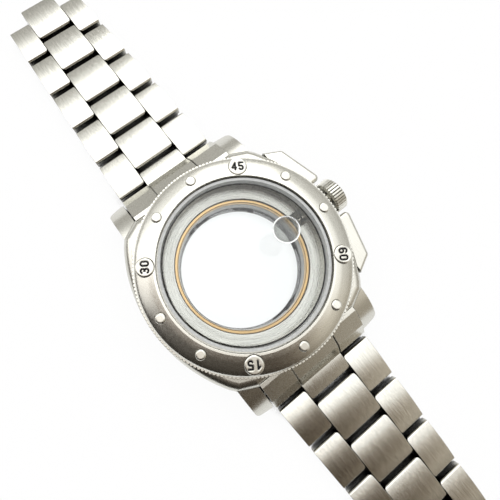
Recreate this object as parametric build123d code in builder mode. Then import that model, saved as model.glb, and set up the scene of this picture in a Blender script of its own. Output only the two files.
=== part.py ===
from build123d import *
from math import acos, atan2, cos, degrees, radians, sin, sqrt
import os

# An empty diving watch case on its three-row steel bracelet, lying face up with both arms laid out flat.
# Millimetres. The origin is the centre of the case back's resting face, +Z is up through the crystal,
# +Y points to 12 o'clock and +X points to 3 o'clock, where the crown is.

# Driving dimensions of the whole watch
case_height = 13.0
cavity_r = 13.0
bracelet_width = 24.0
link_pitch = 10.0
link_thickness = 3.2
crown_r = 3.7
upper_link_count = 5
lower_link_count = 4

# Clearances and general values
overrun = 1.0
fixed_clearance = 0.02
pin_running_clearance = 0.05
turning_clearance = 0.12
free_clearance = 0.2
end_link_clearance = 0.15

# Inside of the case, from the movement outwards
seat_ring_width = 0.8
seat_ring_setback = 0.05
seat_ring_thickness = 1.1
seat_ring_drop = 0.6
seat_ring_chamfer = 0.15
ledge_width = 2.05
ledge_depth = 3.0
ledge_slope = 0.2
stem_notch_width = 3.3
stem_notch_offset = 0.4
stem_notch_depth = 2.0
clamp_notch_width = 3.0
clamp_notch_depth = 0.5
clamp_notch_angle = 104.0
clamp_notch_height = 1.2
ledge_inner_r = cavity_r + seat_ring_width
ledge_outer_r = ledge_inner_r + ledge_width

# Crystal and the neck that holds it and guides the bezel
crystal_overlap = 0.15
crystal_thickness = 2.2
crystal_drop = 0.15
crystal_chamfer = 0.3
crystal_gasket_wall = 0.55
crystal_gasket_drop = 0.35
crystal_seat_width = 0.3
crystal_seat_depth = 0.5
neck_wall = 1.2
neck_drop = 1.25
crystal_r = ledge_outer_r + crystal_overlap
crystal_seat_r = crystal_r - crystal_seat_width
crystal_top_z = case_height - crystal_drop
crystal_bottom_z = crystal_top_z - crystal_thickness
gasket_outer_r = crystal_r + crystal_gasket_wall
gasket_top_z = crystal_top_z - crystal_gasket_drop
neck_outer_r = gasket_outer_r + neck_wall
neck_top_z = case_height - neck_drop
ledge_z = crystal_bottom_z - ledge_depth

# Studs on the bezel
stud_count = 12
stud_step = 360 / stud_count
big_stud_r = 1.85
small_stud_r = 1.02
stud_edge_fillet = 0.3
stud_seat_depth = 0.4
stud_inner_margin = 0.1
stud_outer_margin = 0.9
digit_height = 1.75
digit_stroke = 0.33
digit_width = 1.1
digit_gap = 0.24
digit_depth = 0.12

# Bezel ring
bezel_stack_height = 3.8
bezel_gap = 0.25
bezel_lip_cover = 0.9
bezel_lip_width = 0.45
bezel_face_drop = 0.3
bezel_lip_slope = 8.0
bezel_shoulder_inset = 0.8
bezel_shoulder_drop = 0.5
bezel_rim_inset = 0.45
bezel_rim_drop = 1.8
bezel_groove_inset = 0.6
bezel_knurl_drop = 2.15
bezel_knurl_overlap = 0.05
bezel_notch_count = 180
bezel_notch_depth = 0.3
bezel_notch_share = 0.5
bezel_turn = -123.6
bezel_underside_recess = 0.45
case_top_z = case_height - bezel_stack_height
bezel_bottom_z = case_top_z + bezel_gap
bezel_face_z = case_height - bezel_face_drop
bezel_rim_z = case_height - bezel_rim_drop
bezel_knurl_top_z = case_height - bezel_knurl_drop
bezel_inner_r = neck_outer_r - bezel_lip_cover
stud_circle_r = bezel_inner_r + stud_inner_margin + big_stud_r
bezel_knurl_r = stud_circle_r + big_stud_r + stud_outer_margin
bezel_rim_r = bezel_knurl_r - bezel_rim_inset
bezel_groove_r = bezel_knurl_r - bezel_groove_inset
bezel_shoulder_r = bezel_rim_r - bezel_shoulder_inset

# Bezel retaining wire, click spring and gasket
wire_r = 0.3
wire_drop = 2.1
wire_gap_angle = 14.0
bezel_wire_groove_r = 0.5
click_spring_inset = 1.75
click_spring_width = 0.9
click_spring_thickness = 0.25
click_spring_angle = 250.0
bezel_gasket_inset = 0.25
bezel_gasket_width = 0.7
bezel_gasket_height = 0.55
bezel_gasket_seat_depth = 0.45
wire_z = case_height - wire_drop
click_spring_inner_r = neck_outer_r + click_spring_inset
click_spring_outer_r = click_spring_inner_r + click_spring_width
click_spring_z = case_top_z - click_spring_thickness
bezel_gasket_inner_r = neck_outer_r + bezel_gasket_inset
bezel_gasket_outer_r = bezel_gasket_inner_r + bezel_gasket_width

# Lugs
lug_width = 3.65
lug_reach = 5.8
lug_root_inset = 7.3
lug_tip_z = 3.0
lug_bottom_z = 0.55
lug_shoulder_inset = 2.1
lug_shoulder_drop = 0.8
lug_bend_inset = 2.9
lug_bend_drop = 2.8
lug_tip_slant = 0.9
lug_tip_fillet = 1.1

# Middle case: a cushion outline with a rounded flank
flank_stand_out = 0.45
flank_top_fillet = 1.9
flank_bottom_chamfer = 2.2
corner_width = 1.1
corner_inset = 3.1
corner_cut = 1.7
case_end_inset = 1.25
case_bottom_z = 1.0
flank_half_width = bezel_knurl_r + flank_stand_out
case_end_y = bezel_knurl_r - case_end_inset
corner_y = case_end_y - corner_inset
lug_inner_x = bracelet_width / 2 + end_link_clearance
lug_outer_x = lug_inner_x + lug_width
corner_x = lug_outer_x + corner_width
lug_side_y = case_end_y - corner_cut
lug_tip_y = case_end_y + lug_reach
lug_root_y = case_end_y - lug_root_inset
lug_shoulder_y = case_end_y - lug_shoulder_inset
lug_shoulder_z = case_top_z - lug_shoulder_drop
lug_bend_y = lug_tip_y - lug_bend_inset
lug_bend_z = case_top_z - lug_bend_drop

# Case back
back_thread_inset = 0.45
back_flange_width = 1.5
back_flange_thickness = 1.35
back_top_z = 3.1
back_window_inset = 0.1
back_glass_overlap = 0.6
back_glass_thickness = 1.4
back_glass_lip = 0.35
back_gasket_wall = 0.4
back_seal_inset = 0.6
back_seal_wire = 0.35
key_notch_count = 6
key_notch_width = 3.0
key_notch_depth = 1.3
key_notch_height = 0.7
back_thread_r = ledge_outer_r - back_thread_inset
back_flange_r = back_thread_r + back_flange_width
back_seal_r = back_thread_r + back_seal_inset
back_window_r = cavity_r - back_window_inset
back_glass_r = back_window_r + back_glass_overlap
ring_bottom_z = back_top_z + free_clearance

# Magnifier under the crystal
magnifier_r = 2.8
magnifier_edge = 0.7
magnifier_crown = 0.5
magnifier_overhang = 0.5
magnifier_x = cavity_r + magnifier_overhang - magnifier_r

# Crown, its tube and its guards
crown_axis_drop = 2.9
crown_gap = 1.2
crown_length = 3.4
crown_flute_count = 36
crown_flute_depth = 0.32
crown_flute_share = 0.45
crown_dome = 0.75
crown_dome_share = 1 / 3
crown_base_chamfer = 0.35
crown_bore_r = 1.9
crown_bore_depth = 2.6
crown_boss_room = 0.65
tube_outer_r = 1.3
tube_bore_r = 0.75
tube_inset = 0.75
tube_stand_out = 1.3
post_stem_r = 0.65
post_head_r = 1.75
post_head_length = 0.9
post_reach = 0.65
crown_gasket_wall = 0.3
crown_gasket_length = 0.5
guard_root_inset = 3.1
guard_root_drop = 0.3
guard_length = 1.75
guard_overlap = 0.25
guard_below_axis = 3.0
guard_above_axis = 2.2
guard_fillet = 0.7
guard_tip_fillet = 0.9
crown_axis_z = case_top_z - crown_axis_drop
crown_start_x = bezel_knurl_r + crown_gap
crown_boss_half_width = crown_r + crown_boss_room
tube_inner_x = ledge_outer_r + tube_inset
post_inner_x = ledge_outer_r - post_reach
guard_root_y = corner_y - guard_root_inset
guard_root_x = flank_half_width - guard_root_drop
guard_tip_x = crown_start_x + guard_length
guard_inner_x = neck_outer_r + guard_overlap
guard_bottom_z = crown_axis_z - guard_below_axis
guard_top_z = crown_axis_z + guard_above_axis

# Spring bars, and end links whose two facets step down from the case to the bracelet
spring_bar_inset = 3.2
spring_bar_z = 3.0
spring_bar_r = 0.85
spring_bar_tip_r = 0.45
spring_bar_tip_length = 1.5
spring_bar_shoulder = 0.5
end_link_root_width = 0.45
end_link_lip_angle = 42.0
end_link_lip_clearance = 0.05
end_link_edge_inset = 2.7
end_link_edge_drop = 2.7
end_link_drop_inset = 0.7
end_link_drop_rise = 0.8
end_link_groove_width = 0.3
end_link_groove_depth = 0.35
end_link_fillet = 0.35
first_row_gap = 0.9
spring_bar_y = lug_tip_y - spring_bar_inset
first_row_y = lug_tip_y + first_row_gap
end_link_root_y = case_end_y + end_link_root_width
end_link_lip_r = flank_top_fillet + end_link_lip_clearance
lip_centre_y = case_end_y - flank_top_fillet
lip_centre_z = case_top_z - flank_top_fillet
lip_low_angle = degrees(acos((flank_top_fillet + fixed_clearance) / end_link_lip_r))
end_link_root_z = lip_centre_z + end_link_lip_r * sin(radians(end_link_lip_angle))
end_link_edge_y = first_row_y - end_link_edge_inset
end_link_edge_z = case_top_z - end_link_edge_drop
end_link_drop_y = first_row_y - end_link_drop_inset
end_link_drop_z = link_thickness + end_link_drop_rise

# Links
link_gap = 1.1
row_clearance = 0.12
centre_width = 10.4
width_taper = 1.05
centre_taper = 0.42
link_crown = 0.5
link_end_flat = 0.6
link_edge_r = 0.5
link_corner_r = 0.8
pin_recess = 0.15
pin_r = 0.55
link_end_r = (link_thickness - link_end_flat) / 2
hinge_z = link_thickness / 2
tight_bore = pin_r + fixed_clearance
running_bore = pin_r + pin_running_clearance
first_hinge_y = first_row_y + link_gap / 2 + link_end_r

# Clasp, folded shut at the end of the lower arm
clasp_end_length = 7.2
clasp_side_clearance = 0.25
clasp_wall = 0.9
clasp_plate = 1.0
clasp_rise = 2.1
clasp_wall_bottom_z = 1.0
clasp_reach = 33.0
clasp_lead = 2.4
clasp_fillet = 0.6
clasp_hole_count = 4
clasp_hole_pitch = 3.2
clasp_bar_r = 0.7
blade_thickness = 0.9
blade_width = 9.6
blade_gap = 0.3
blade_window_share = 0.62
knuckle_r = 1.15
knuckle_width = 5.0
knuckle_lift = 0.05
blade_pin_r = 0.5
outer_hinge_z = 2.3
inner_hinge_setback = 4.6
free_end_reach = 5.2
free_end_r = 1.25
free_bore_r = 0.75
free_end_width = 12.0
clasp_height = link_thickness + clasp_rise
inner_hinge_z = knuckle_r + knuckle_lift

os.makedirs("parts", exist_ok=True)


def save(part, name):
    part.label = name
    export_step(part, "parts/" + name + ".step")


def ring(inner_r, outer_r, low_z, high_z):
    with BuildPart() as made:
        with BuildSketch(Plane.XY.offset(low_z)):
            Circle(outer_r)
            Circle(inner_r, mode=Mode.SUBTRACT)
        extrude(amount=high_z - low_z)
    return made.part


def cross_rod(radius, length, y, z):
    """A round rod along X, centred on the middle plane."""
    with BuildPart() as made:
        with BuildSketch(Plane.YZ.offset(-length / 2)):
            with Locations((y, z)):
                Circle(radius)
        extrude(amount=length)
    return made.part


def polar(radius, angle):
    return (radius * cos(radians(angle)), radius * sin(radians(angle)))


# Middle case: cushion body, crown guards, lugs and neck
stem_axis = Plane(origin=(0, 0, crown_axis_z), x_dir=(0, 1, 0), z_dir=(1, 0, 0))
upper_bore_r = ledge_outer_r + fixed_clearance
with BuildPart() as lug_pair:
    with BuildSketch(Plane.YZ.offset(lug_inner_x)):
        with BuildLine():
            Polyline(
                (lug_tip_y, lug_bottom_z),
                (lug_root_y, lug_bottom_z),
                (lug_root_y, lug_shoulder_z),
                (lug_shoulder_y, lug_shoulder_z),
            )
            Spline(
                (lug_shoulder_y, lug_shoulder_z),
                (lug_bend_y, lug_bend_z),
                (lug_tip_y, lug_tip_z),
            )
            Line((lug_tip_y, lug_tip_z), (lug_tip_y, lug_bottom_z))
        make_face()
    extrude(amount=lug_outer_x - lug_inner_x)
    with BuildSketch(Plane.XY.offset(-overrun), mode=Mode.PRIVATE) as tip_outline:
        with BuildLine():
            Polyline(
                (lug_inner_x, lug_root_y),
                (lug_outer_x, lug_root_y),
                (lug_outer_x, lug_tip_y - lug_tip_slant),
                (lug_inner_x, lug_tip_y),
                close=True,
            )
        make_face()
        fillet(tip_outline.vertices().group_by(Axis.Y)[-1], lug_tip_fillet / 2)
        fillet(tip_outline.vertices().group_by(Axis.X)[-1].sort_by(Axis.Y)[-1], lug_tip_fillet)
    extrude(tip_outline.sketch, amount=case_height, mode=Mode.INTERSECT)
    mirror(about=Plane.YZ)

with BuildPart() as guard:
    with BuildSketch(Plane.XY.offset(guard_bottom_z)) as guard_outline:
        with BuildLine():
            Polyline(
                (guard_inner_x, crown_boss_half_width),
                (guard_tip_x, crown_boss_half_width),
                (guard_root_x, guard_root_y),
                (guard_inner_x, guard_root_y + flank_top_fillet),
                close=True,
            )
        make_face()
        fillet(guard_outline.vertices().sort_by(Axis.X)[-1], guard_tip_fillet)
        fillet(guard_outline.vertices().sort_by(Axis.Y)[-2], guard_tip_fillet)
    extrude(amount=guard_top_z - guard_bottom_z)
    guard_rims = guard.faces().sort_by(Axis.Z)[-1].edges()
    guard_rims = guard_rims.filter_by(lambda edge: edge.center().X > guard_inner_x)
    fillet(guard_rims.filter_by(lambda edge: edge.center().Y > crown_boss_half_width), guard_fillet)

with BuildPart() as mid_case:
    with BuildSketch(Plane.XY.offset(case_bottom_z)):
        with BuildLine():
            for side in (1, -1):
                ThreePointArc(
                    (side * corner_x, -side * corner_y),
                    (side * flank_half_width, 0),
                    (side * corner_x, side * corner_y),
                )
                Polyline(
                    (side * corner_x, side * corner_y),
                    (side * lug_outer_x, side * lug_side_y),
                    (side * lug_inner_x, side * case_end_y),
                    (-side * lug_inner_x, side * case_end_y),
                    (-side * lug_outer_x, side * lug_side_y),
                    (-side * corner_x, side * corner_y),
                )
        make_face()
    extrude(amount=case_top_z - case_bottom_z)
    fillet(mid_case.edges().filter_by(Plane.XY).group_by(Axis.Z)[-1], flank_top_fillet)
    chamfer(mid_case.faces().sort_by(Axis.Z)[0].edges(), flank_bottom_chamfer)
    add(guard.part)
    add(mirror(guard.part, about=Plane.XZ))
    add(lug_pair.part)
    add(mirror(lug_pair.part, about=Plane.XZ))
    with BuildSketch(Plane.XY.offset(case_bottom_z)):
        Circle(neck_outer_r)
    extrude(amount=neck_top_z - case_bottom_z)
    with BuildSketch(Plane.XZ):
        with BuildLine():
            Polyline(
                (0, 0),
                (back_flange_r + free_clearance, 0),
                (back_flange_r + free_clearance, back_flange_thickness),
                (back_thread_r + fixed_clearance, back_flange_thickness),
                (back_thread_r + fixed_clearance, ring_bottom_z),
                (upper_bore_r, ring_bottom_z),
                (upper_bore_r, crystal_bottom_z - crystal_seat_depth),
                (crystal_seat_r, crystal_bottom_z - crystal_seat_depth),
                (crystal_seat_r, crystal_bottom_z),
                (gasket_outer_r, crystal_bottom_z),
                (gasket_outer_r, case_height),
                (0, case_height),
                close=True,
            )
        make_face()
    revolve(axis=Axis.Z, mode=Mode.SUBTRACT)
    with BuildSketch(stem_axis.offset(ledge_inner_r)):
        Circle(tube_outer_r + fixed_clearance)
    extrude(amount=bezel_knurl_r, mode=Mode.SUBTRACT)
    with BuildSketch(stem_axis.offset(crown_start_x - free_clearance)):
        Rectangle(2 * crown_boss_half_width, case_height)
    extrude(amount=bezel_knurl_r, mode=Mode.SUBTRACT)
    with BuildSketch(Plane.XZ):
        with Locations((neck_outer_r, wire_z)):
            Circle(wire_r + fixed_clearance)
    revolve(axis=Axis.Z, mode=Mode.SUBTRACT)
    with BuildSketch(Plane.XY.offset(case_top_z - bezel_gasket_seat_depth)):
        Circle(bezel_gasket_outer_r + fixed_clearance)
        Circle(bezel_gasket_inner_r - fixed_clearance, mode=Mode.SUBTRACT)
    extrude(amount=case_height, mode=Mode.SUBTRACT)
    with BuildSketch(Plane.XY.offset(click_spring_z)):
        Circle(click_spring_outer_r + fixed_clearance)
        Circle(click_spring_inner_r - fixed_clearance, mode=Mode.SUBTRACT)
    extrude(amount=case_height, mode=Mode.SUBTRACT)
    with BuildSketch(Plane.YZ.offset(-lug_outer_x - overrun)):
        for side in (1, -1):
            with Locations((side * spring_bar_y, spring_bar_z)):
                Circle(spring_bar_tip_r + fixed_clearance)
    extrude(amount=2 * (lug_outer_x + overrun), mode=Mode.SUBTRACT)
save(mid_case.part, "mid_case")


# Crystal, its gasket and the magnifier
with BuildPart() as crystal:
    with BuildSketch(Plane.XY.offset(crystal_bottom_z)):
        Circle(crystal_r - fixed_clearance)
    extrude(amount=crystal_thickness)
    chamfer(crystal.edges().group_by(Axis.Z)[-1], crystal_chamfer)
save(crystal.part, "crystal")

save(ring(crystal_r, gasket_outer_r - fixed_clearance, crystal_bottom_z, gasket_top_z), "crystal_gasket")

magnifier_ball_r = (magnifier_r**2 + magnifier_crown**2) / (2 * magnifier_crown)
with BuildPart() as magnifier_lens:
    with BuildSketch(Plane.XZ):
        with BuildLine():
            Polyline(
                (0, crystal_bottom_z - magnifier_edge - magnifier_crown),
                (0, crystal_bottom_z),
                (magnifier_r, crystal_bottom_z),
                (magnifier_r, crystal_bottom_z - magnifier_edge),
            )
            RadiusArc(
                (magnifier_r, crystal_bottom_z - magnifier_edge),
                (0, crystal_bottom_z - magnifier_edge - magnifier_crown),
                magnifier_ball_r,
            )
        make_face()
    revolve(axis=Axis.Z)
save(Pos(magnifier_x, 0, 0) * magnifier_lens.part, "magnifier_lens")


# Movement ring with its turned ledge, stem notch and clamp notches, and the gold seat ring in it
seat_ring_outer_r = ledge_inner_r - fixed_clearance
seat_ring_inner_r = cavity_r + seat_ring_setback
seat_ring_top_z = ledge_z - ledge_slope - seat_ring_drop
seat_ring_bottom_z = seat_ring_top_z - seat_ring_thickness
with BuildPart() as movement_ring:
    with BuildSketch(Plane.XZ):
        with BuildLine():
            Polyline(
                (cavity_r, ring_bottom_z),
                (ledge_outer_r, ring_bottom_z),
                (ledge_outer_r, ledge_z),
                (ledge_inner_r, ledge_z - ledge_slope),
                (ledge_inner_r, seat_ring_bottom_z),
                (cavity_r, seat_ring_bottom_z),
                close=True,
            )
        make_face()
    revolve(axis=Axis.Z)
    with BuildSketch(Plane.XY.offset(crown_axis_z - stem_notch_depth)):
        with Locations((ledge_outer_r, stem_notch_offset)):
            Rectangle(2 * (ledge_outer_r - seat_ring_outer_r) - free_clearance, stem_notch_width)
    extrude(amount=case_height, mode=Mode.SUBTRACT)
    with BuildSketch(stem_axis):
        Circle(post_stem_r + free_clearance)
    extrude(amount=bezel_knurl_r, mode=Mode.SUBTRACT)
    with BuildSketch(Plane.XY.offset(ring_bottom_z)):
        for turn in (0, 180):
            notch_place = polar(cavity_r, clamp_notch_angle + turn)
            with Locations(Location((*notch_place, 0), (0, 0, clamp_notch_angle + turn))):
                Rectangle(2 * clamp_notch_depth, clamp_notch_width)
    extrude(amount=clamp_notch_height, mode=Mode.SUBTRACT)
save(movement_ring.part, "movement_ring")

with BuildPart() as seat_ring:
    add(ring(seat_ring_inner_r, seat_ring_outer_r, seat_ring_bottom_z, seat_ring_top_z))
    chamfer(seat_ring.edges().group_by(Axis.Z)[-1], seat_ring_chamfer)
save(seat_ring.part, "gold_seat_ring")


# Case back: screwed ring with key notches, glass and seals
with BuildPart() as case_back:
    with BuildSketch(Plane.XZ):
        with BuildLine():
            Polyline(
                (back_window_r, 0),
                (back_flange_r - back_glass_lip, 0),
                (back_flange_r, back_glass_lip),
                (back_flange_r, back_flange_thickness - fixed_clearance),
                (back_thread_r, back_flange_thickness - fixed_clearance),
                (back_thread_r, back_top_z),
                (back_glass_r + back_gasket_wall, back_top_z),
                (back_glass_r + back_gasket_wall, back_glass_lip),
                (back_window_r, back_glass_lip),
                close=True,
            )
        make_face()
    revolve(axis=Axis.Z)
    with BuildSketch(Plane.XY):
        with PolarLocations(back_flange_r, key_notch_count):
            Rectangle(2 * key_notch_depth, key_notch_width)
    extrude(amount=key_notch_height, mode=Mode.SUBTRACT)
    with BuildSketch(Plane.XZ):
        with Locations((back_seal_r, back_flange_thickness)):
            Circle(back_seal_wire + fixed_clearance)
    revolve(axis=Axis.Z, mode=Mode.SUBTRACT)
save(case_back.part, "case_back")

with BuildPart() as back_glass:
    with BuildSketch(Plane.XY.offset(back_glass_lip)):
        Circle(back_glass_r - fixed_clearance)
    extrude(amount=back_glass_thickness)
save(back_glass.part, "back_glass")

back_gasket = ring(
    back_glass_r,
    back_glass_r + back_gasket_wall - fixed_clearance,
    back_glass_lip,
    back_glass_lip + back_glass_thickness,
)
save(back_gasket, "back_glass_gasket")

with BuildPart() as back_seal:
    with BuildSketch(Plane.XZ):
        with Locations((back_seal_r, back_flange_thickness)):
            Circle(back_seal_wire)
            Rectangle(2 * back_seal_wire, back_seal_wire, align=(Align.CENTER, Align.MIN), mode=Mode.SUBTRACT)
    revolve(axis=Axis.Z)
save(back_seal.part, "case_back_seal")


# Bezel: soft shoulder, rim line, coin edge and stud seats. The numerals are keyed by their stud.
numeral_texts = {0: "60", 3: "15", 6: "30", 9: "45"}
with BuildPart() as bezel:
    with BuildSketch(Plane.XZ):
        with BuildLine():
            Polyline(
                (neck_outer_r + turning_clearance, bezel_bottom_z),
                (bezel_knurl_r - bezel_notch_depth, bezel_bottom_z),
                (bezel_knurl_r - bezel_notch_depth, bezel_knurl_top_z),
                (bezel_groove_r, bezel_knurl_top_z),
                (bezel_rim_r, bezel_rim_z),
            )
            Spline(
                (bezel_rim_r, bezel_rim_z),
                (bezel_shoulder_r, bezel_face_z - bezel_shoulder_drop),
                (stud_circle_r, bezel_face_z),
                (bezel_inner_r + bezel_lip_width, case_height),
                tangents=((0, 1), (-cos(radians(bezel_lip_slope)), sin(radians(bezel_lip_slope)))),
            )
            Polyline(
                (bezel_inner_r + bezel_lip_width, case_height),
                (bezel_inner_r, case_height),
                (bezel_inner_r, neck_top_z + free_clearance),
                (neck_outer_r + turning_clearance, neck_top_z + free_clearance),
                (neck_outer_r + turning_clearance, bezel_bottom_z),
            )
        make_face()
    revolve(axis=Axis.Z)
    with BuildSketch(Plane.XZ):
        with Locations((neck_outer_r, wire_z)):
            Circle(bezel_wire_groove_r)
    revolve(axis=Axis.Z, mode=Mode.SUBTRACT)
    with BuildSketch(Plane.XY.offset(bezel_bottom_z)):
        Circle(click_spring_outer_r + free_clearance)
        Circle(bezel_gasket_inner_r - free_clearance, mode=Mode.SUBTRACT)
    extrude(amount=bezel_underside_recess, mode=Mode.SUBTRACT)
    with BuildSketch(Plane.XY.offset(bezel_face_z - stud_seat_depth)):
        for index in range(stud_count):
            seat_r = big_stud_r if index in numeral_texts else small_stud_r
            with Locations(polar(stud_circle_r, 90 + bezel_turn - index * stud_step)):
                Circle(seat_r + fixed_clearance)
    extrude(amount=case_height, mode=Mode.SUBTRACT)
    with BuildSketch(Plane.XY.offset(bezel_bottom_z)):
        with BuildLine():
            notch_step = 360 / bezel_notch_count
            edge_points = []
            for notch in range(bezel_notch_count):
                start = notch * notch_step
                land = notch_step * (1 - bezel_notch_share)
                edge_points.append(polar(bezel_knurl_r, start))
                edge_points.append(polar(bezel_knurl_r, start + land))
                edge_points.append(polar(bezel_knurl_r - bezel_notch_depth, start + (notch_step + land) / 2))
            Polyline(*edge_points, close=True)
        make_face()
        Circle(bezel_groove_r - bezel_knurl_overlap, mode=Mode.SUBTRACT)
    extrude(amount=bezel_knurl_top_z - bezel_bottom_z)
save(bezel.part, "bezel")


# Numerals as strokes, in shares of the digit's own size
half_w = (digit_width - digit_stroke) / 2
half_h = (digit_height - digit_stroke) / 2
bowl_r = half_w
digit_strokes = {
    "0": [
        ("arc", (0, half_h - bowl_r), bowl_r, 0, 180),
        ("arc", (0, bowl_r - half_h), bowl_r, 180, 180),
        ("line", (-half_w, half_h - bowl_r), (-half_w, bowl_r - half_h)),
        ("line", (half_w, half_h - bowl_r), (half_w, bowl_r - half_h)),
    ],
    "1": [
        ("line", (0, -half_h), (0, half_h)),
        ("line", (0, half_h), (-half_w, half_h - bowl_r)),
    ],
    "3": [
        ("arc", (0, half_h - bowl_r), bowl_r, -90, 240),
        ("arc", (0, bowl_r - half_h), bowl_r, -150, 240),
        ("line", (0, half_h - 2 * bowl_r), (0, 2 * bowl_r - half_h)),
    ],
    "4": [
        ("line", (half_w / 2, -half_h), (half_w / 2, half_h)),
        ("line", (half_w / 2, half_h), (-half_w, bowl_r - half_h)),
        ("line", (-half_w, bowl_r - half_h), (half_w, bowl_r - half_h)),
    ],
    "5": [
        ("line", (-half_w, half_h), (half_w, half_h)),
        ("line", (-half_w, half_h), (-half_w, 2 * bowl_r - half_h)),
        ("line", (-half_w, 2 * bowl_r - half_h), (0, 2 * bowl_r - half_h)),
        ("arc", (0, bowl_r - half_h), bowl_r, -150, 240),
    ],
    "6": [
        ("arc", (0, bowl_r - half_h), bowl_r, 0, 180),
        ("arc", (0, bowl_r - half_h), bowl_r, 180, 180),
        ("line", (-half_w, bowl_r - half_h), (-half_w, half_h - bowl_r)),
        ("arc", (0, half_h - bowl_r), bowl_r, 30, 150),
    ],
}


def numeral_sketch(text):
    """The digits of one numeral side by side, made of strokes with round ends."""
    with BuildSketch() as drawn:
        for place, digit in enumerate(text):
            shift = (2 * place - 1) * (digit_width + digit_gap) / 2
            for stroke in digit_strokes[digit]:
                if stroke[0] == "line":
                    start = Vector(*stroke[1])
                    along = Vector(*stroke[2]) - start
                    middle = start + along * 0.5 + Vector(shift, 0)
                    turn = degrees(atan2(along.Y, along.X))
                    with Locations(Location((middle.X, middle.Y, 0), (0, 0, turn))):
                        SlotCenterToCenter(along.length, digit_stroke)
                else:
                    arc = CenterArc(Vector(*stroke[1]) + Vector(shift, 0), *stroke[2:], mode=Mode.PRIVATE)
                    trace(arc, line_width=digit_stroke)
                    for end in (0, 1):
                        with Locations(arc @ end):
                            Circle(digit_stroke / 2)
    return drawn.sketch


def stud_plane(index, height):
    """Plane on top of a stud, with its Y pointing outwards."""
    angle = 90 + bezel_turn - index * stud_step
    outward = polar(1, angle)
    place = polar(stud_circle_r, angle)
    return Plane(origin=(*place, height), x_dir=(outward[1], -outward[0], 0), z_dir=(0, 0, 1))


with BuildPart() as numerals:
    for index, text in numeral_texts.items():
        with BuildSketch(stud_plane(index, case_height - digit_depth)):
            add(numeral_sketch(text))
        extrude(amount=digit_depth)
save(numerals.part, "bezel_numerals")

stud_bottom_z = bezel_face_z - stud_seat_depth
with BuildPart() as big_studs:
    for index in numeral_texts:
        with BuildSketch(stud_plane(index, stud_bottom_z)):
            Circle(big_stud_r)
        extrude(amount=case_height - stud_bottom_z)
    fillet(big_studs.edges().group_by(Axis.Z)[-1], stud_edge_fillet)
    add(numerals.part, mode=Mode.SUBTRACT)
save(big_studs.part, "bezel_numbered_studs")

with BuildPart() as small_studs:
    for index in range(stud_count):
        if index not in numeral_texts:
            with BuildSketch(stud_plane(index, stud_bottom_z)):
                Circle(small_stud_r)
            extrude(amount=case_height - stud_bottom_z)
    fillet(small_studs.edges().group_by(Axis.Z)[-1], stud_edge_fillet)
save(small_studs.part, "bezel_plain_studs")


# Bezel wire, click spring and gasket
with BuildPart() as bezel_wire:
    with BuildSketch(Plane.XZ):
        with Locations((neck_outer_r, wire_z)):
            Circle(wire_r)
    revolve(axis=Axis.Z, revolution_arc=360 - wire_gap_angle)
save(bezel_wire.part, "bezel_retaining_wire")

with BuildPart() as click_spring:
    with BuildSketch(Plane.XZ):
        with Locations((click_spring_inner_r, click_spring_z)):
            Rectangle(click_spring_outer_r - click_spring_inner_r, click_spring_thickness, align=Align.MIN)
    revolve(axis=Axis.Z, revolution_arc=click_spring_angle)
save(click_spring.part, "bezel_click_spring")

gasket_low_z = case_top_z - bezel_gasket_seat_depth
save(
    ring(bezel_gasket_inner_r, bezel_gasket_outer_r, gasket_low_z, gasket_low_z + bezel_gasket_height),
    "bezel_gasket",
)


# Crown, with straight flutes and a domed end, its post, gasket and tube
crown_end_x = crown_start_x + crown_length
with BuildPart() as crown:
    with BuildSketch(stem_axis.offset(crown_start_x)):
        with BuildLine():
            flute_step = 360 / crown_flute_count
            flute_points = []
            for flute in range(crown_flute_count):
                start = flute * flute_step
                land = flute_step * (1 - crown_flute_share)
                flute_points.append(polar(crown_r, start))
                flute_points.append(polar(crown_r, start + land))
                flute_points.append(polar(crown_r - crown_flute_depth, start + (flute_step + land) / 2))
            Polyline(*flute_points, close=True)
        make_face()
    extrude(amount=crown_length)
    with BuildSketch(Plane.XZ):
        with BuildLine():
            Polyline(
                (crown_end_x, crown_axis_z),
                (crown_start_x, crown_axis_z),
                (crown_start_x, crown_axis_z + crown_r - crown_base_chamfer),
                (crown_start_x + crown_base_chamfer, crown_axis_z + crown_r),
                (crown_end_x - crown_dome, crown_axis_z + crown_r),
            )
            Spline(
                (crown_end_x - crown_dome, crown_axis_z + crown_r),
                (crown_end_x - crown_dome * crown_dome_share, crown_axis_z + crown_r - crown_dome),
                (crown_end_x, crown_axis_z),
                tangents=((1, -1), (0, -1)),
            )
        make_face()
    revolve(axis=Axis((0, 0, crown_axis_z), (1, 0, 0)), mode=Mode.INTERSECT)
    with BuildSketch(stem_axis.offset(crown_start_x)):
        Circle(crown_bore_r)
    extrude(amount=crown_bore_depth, mode=Mode.SUBTRACT)
save(crown.part, "crown")

post_head_x = crown_start_x + crown_bore_depth - post_head_length
with BuildPart() as crown_post:
    with BuildSketch(stem_axis.offset(post_head_x)):
        Circle(post_head_r)
    extrude(amount=post_head_length - free_clearance)
    with BuildSketch(stem_axis.offset(post_inner_x)):
        Circle(post_stem_r)
    extrude(amount=post_head_x - post_inner_x)
save(crown_post.part, "crown_post")

tube_outer_x = crown_start_x + tube_stand_out
with BuildPart() as crown_tube:
    with BuildSketch(stem_axis.offset(tube_inner_x)):
        Circle(tube_outer_r)
        Circle(tube_bore_r, mode=Mode.SUBTRACT)
    extrude(amount=tube_outer_x - tube_inner_x)
save(crown_tube.part, "crown_tube")

with BuildPart() as crown_gasket:
    with BuildSketch(stem_axis.offset(crown_start_x + free_clearance)):
        Circle(crown_bore_r - fixed_clearance)
        Circle(crown_bore_r - crown_gasket_wall, mode=Mode.SUBTRACT)
    extrude(amount=crown_gasket_length)
save(crown_gasket.part, "crown_gasket")


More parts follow.
